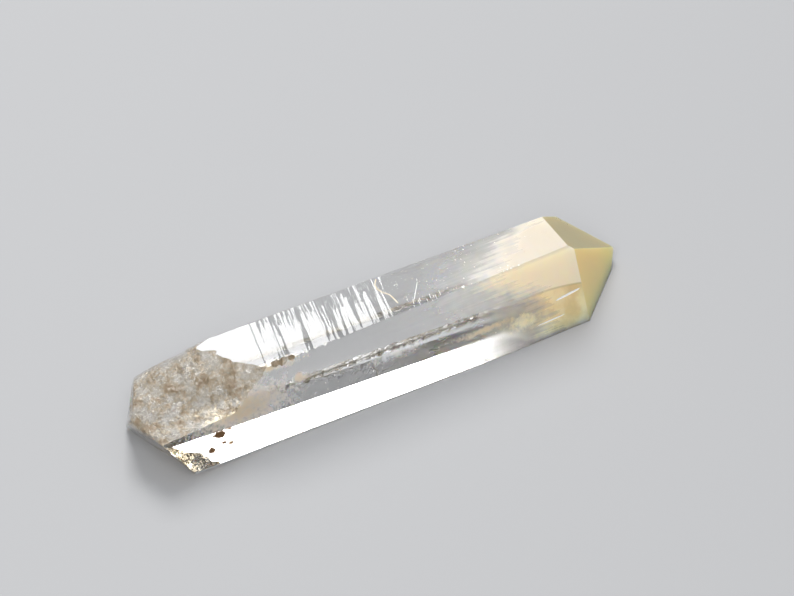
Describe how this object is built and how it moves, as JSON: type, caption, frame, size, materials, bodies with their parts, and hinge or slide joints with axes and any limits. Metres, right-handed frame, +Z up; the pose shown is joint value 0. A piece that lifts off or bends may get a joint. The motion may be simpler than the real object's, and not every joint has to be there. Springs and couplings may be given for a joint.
{
  "type": "mango quartz crystal",
  "caption": "Clear six-sided quartz point with a cream to mango-yellow tip and a rough broken base, lying on one long prism face.",
  "frame": {"origin": "centre of the bounding box, on the plane of the flat prism face that the crystal rests on", "axes": "+X along the growth axis from the broken base to the tip, +Z up, away from the resting face"},
  "size_m": [0.042, 0.0086, 0.0057],
  "materials": {
    "quartz": "vitreous clear, cloudy mango-yellow toward the tip"
  },
  "bodies": {
    "root": {"quartz_crystal": "quartz"}
  },
  "joints": []
}
